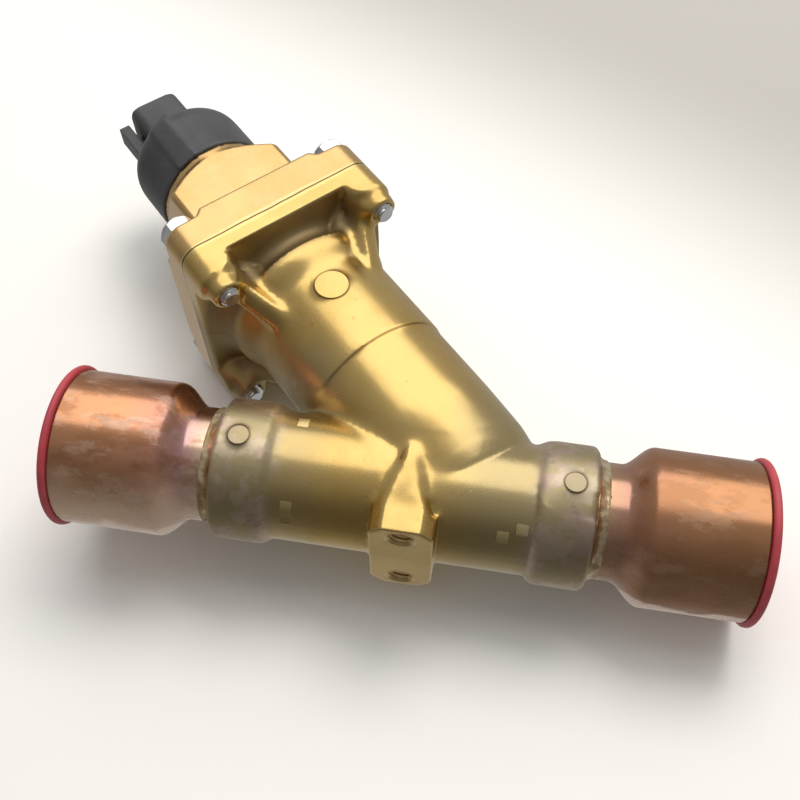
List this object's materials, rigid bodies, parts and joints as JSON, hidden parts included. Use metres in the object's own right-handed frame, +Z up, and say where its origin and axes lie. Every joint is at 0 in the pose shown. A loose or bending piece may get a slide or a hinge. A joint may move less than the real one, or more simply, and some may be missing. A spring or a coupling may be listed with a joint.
{
  "type": "electronic expansion valve",
  "caption": "Brass Y-pattern electronic expansion valve with a stepper motor cap, brazed copper solder ends, transport plugs and a tapped fixing boss.",
  "frame": {"origin": "on the fixing face, midway between its two tapped holes", "axes": "X runs along the ports towards the outlet, Y from the fixing face towards the motor, Z up along the row of fixing holes"},
  "size_m": [0.2818, 0.2085, 0.0848],
  "materials": {
    "forged_brass": "blasted forged brass, satin",
    "turned_brass": "turned brass",
    "copper": "drawn copper with heat tint",
    "braze_alloy": "brazing alloy, rough",
    "red_plastic": "moulded polyethylene",
    "black_plastic": "moulded glass-filled polyamide",
    "seal_rubber": "moulded rubber",
    "seal_plastic": "turned fluoropolymer",
    "zinc_steel": "zinc-plated steel",
    "steel": "ground steel",
    "magnet": "moulded ferrite",
    "winding_copper": "enamelled copper wire",
    "bobbin_plastic": "moulded polyester",
    "contact_metal": "plated contact brass"
  },
  "bodies": {
    "housing": {"valve_body": "forged_brass", "inlet_stub": "copper", "outlet_stub": "copper", "inlet_braze": "braze_alloy", "outlet_braze": "braze_alloy", "bonnet": "turned_brass", "flange_bolts": "zinc_steel", "flange_o_ring": "seal_rubber", "seat_ring": "seal_plastic", "guide_sleeve": "turned_brass", "guide_key": "steel", "bearing_outer_ring": "steel", "bearing_balls": "steel", "motor_can": "steel", "can_o_ring": "seal_rubber", "upper_bush": "turned_brass", "stator_poles": "steel", "lower_bobbin": "bobbin_plastic", "upper_bobbin": "bobbin_plastic", "lower_winding": "winding_copper", "upper_winding": "winding_copper", "motor_cap": "black_plastic", "cap_o_ring": "seal_rubber", "contact_pins": "contact_metal"},
    "rotor": {"lead_screw": "steel", "bearing_inner_ring": "steel", "rotor_hub": "bobbin_plastic", "rotor_magnet": "magnet"},
    "piston_set": {"piston": "turned_brass", "piston_seal": "seal_plastic", "piston_wear_ring": "seal_plastic", "drive_nut": "turned_brass", "nut_circlip": "steel"},
    "inlet_cover": {"inlet_plug": "red_plastic"},
    "outlet_cover": {"outlet_plug": "red_plastic"}
  },
  "joints": [
    {"name": "rotor_spin", "type": "hinge", "parent": "housing", "child": "rotor", "pos_m": [0.025, 0.026, 0], "axis": [0.7071, -0.7071, 0], "range_deg": [0, 7200]},
    {"name": "piston_travel", "type": "slide", "parent": "housing", "child": "piston_set", "axis": [-0.7071, 0.7071, 0], "range_m": [0, 0.0144]},
    {"name": "inlet_plug_pull", "type": "slide", "parent": "housing", "child": "inlet_cover", "axis": [-1, 0, 0], "range_m": [0, 0.022]},
    {"name": "outlet_plug_pull", "type": "slide", "parent": "housing", "child": "outlet_cover", "axis": [1, 0, 0], "range_m": [0, 0.022]}
  ],
  "couplings": [
    {"joint": "rotor_spin", "follows": "piston_travel", "rad_per_m": 8726.6}
  ]
}
